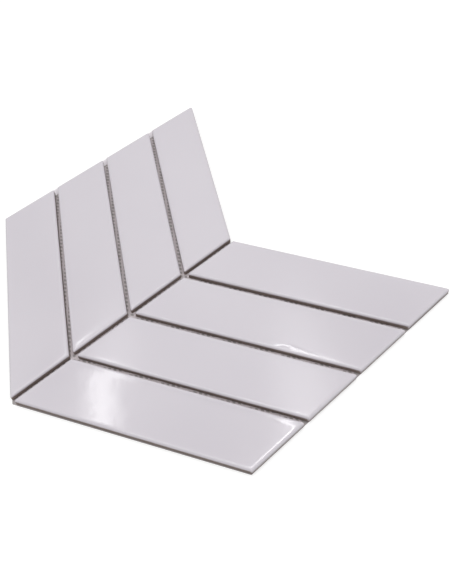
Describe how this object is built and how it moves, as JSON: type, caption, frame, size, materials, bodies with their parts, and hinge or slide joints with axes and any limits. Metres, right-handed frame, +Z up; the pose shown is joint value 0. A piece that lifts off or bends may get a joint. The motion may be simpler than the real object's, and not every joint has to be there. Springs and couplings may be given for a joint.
{
  "type": "chevron mosaic tile sheet",
  "caption": "Glazed ceramic tiles laid in a chevron and held on a fibreglass net, to be bedded on a wall or floor and grouted.",
  "frame": {"origin": "under the middle of the sheet, at the underside of the net", "axes": "+X across the sheet to the right-hand column of tiles, +Y along the seam towards the open side of the V, +Z up out of the glazed faces"},
  "size_m": [0.3082, 0.2972, 0.0065],
  "materials": {
    "glazed_tile": "gloss",
    "net": "matte"
  },
  "bodies": {
    "root": {"tile_left_1": "glazed_tile", "tile_left_2": "glazed_tile", "tile_left_3": "glazed_tile", "tile_left_4": "glazed_tile", "tile_right_1": "glazed_tile", "tile_right_2": "glazed_tile", "tile_right_3": "glazed_tile", "tile_right_4": "glazed_tile", "net_weft": "net", "net_warp": "net"}
  },
  "joints": []
}
